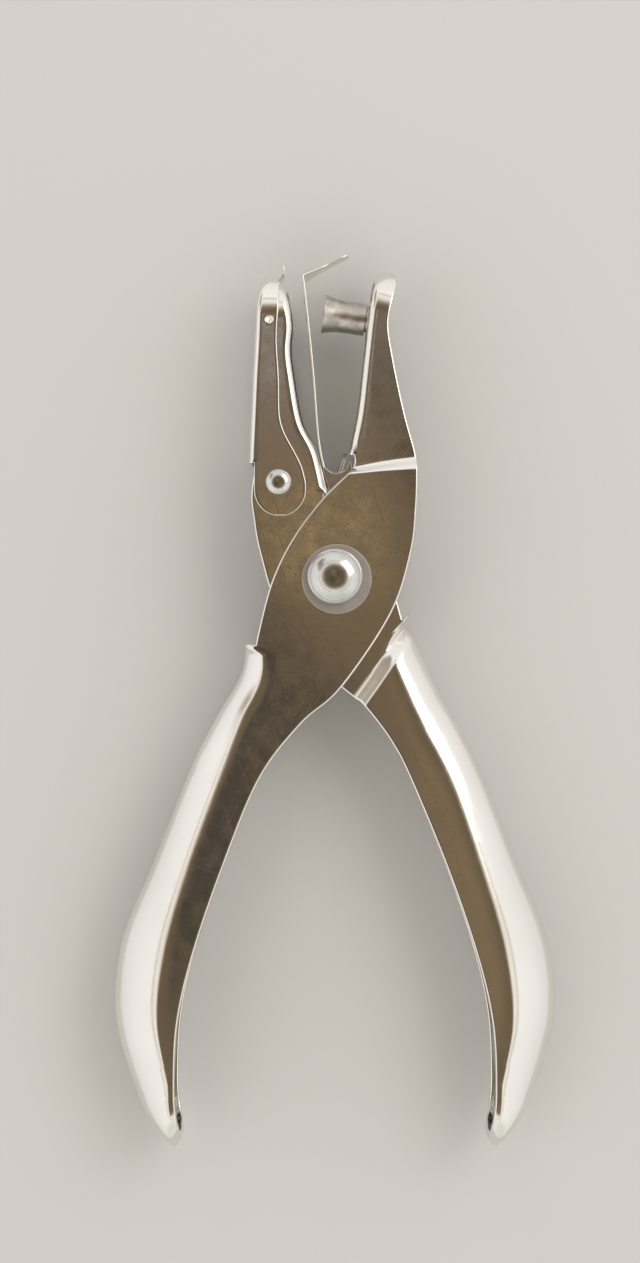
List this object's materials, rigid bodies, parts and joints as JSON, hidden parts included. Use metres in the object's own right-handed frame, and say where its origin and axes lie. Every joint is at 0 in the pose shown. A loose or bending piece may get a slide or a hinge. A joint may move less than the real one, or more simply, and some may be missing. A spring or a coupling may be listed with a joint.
{
  "type": "single hole punch",
  "caption": "Plier-type single hole punch: crossed sheet-metal levers on a rivet, a sprung punch jaw, a die jaw and a swing-out clip holder.",
  "frame": {"origin": "on the pivot axis, at the flat back head of the main rivet", "axes": "+Z along the pivot axis out of the domed front head, +Y towards the jaws, +X towards the punch jaw"},
  "size_m": [0.0704, 0.143, 0.0192],
  "materials": {
    "nickel_plate": "polished nickel plate",
    "rivet_steel": "bright plated",
    "strip_steel": "bright spring strip",
    "punch_steel": "dull hardened steel",
    "plain_steel": "bare drawn steel"
  },
  "bodies": {
    "die_body": {"die_lever": "nickel_plate", "stripper": "strip_steel", "main_rivet": "rivet_steel", "pivot_washer": "rivet_steel", "pivot_sleeve": "plain_steel", "return_spring": "plain_steel", "chip_holder_rivets": "rivet_steel"},
    "punch_body": {"punch_lever": "nickel_plate", "punch_pin": "punch_steel"},
    "holder_body": {"chip_holder": "nickel_plate"}
  },
  "joints": [
    {"name": "punch_close", "type": "hinge", "parent": "die_body", "child": "punch_body", "pos_m": [0, 0, 0.0087], "axis": [0, 0, 1], "range_deg": [0, 9.5], "stiffness_Nm_per_rad": 1.2, "springref_deg": -14.32, "deforming": ["return_spring"]},
    {"name": "holder_swing", "type": "hinge", "parent": "die_body", "child": "holder_body", "pos_m": [-0.00896, 0.015, 0.0087], "axis": [0, 0, 1], "range_deg": [0, 30]}
  ]
}
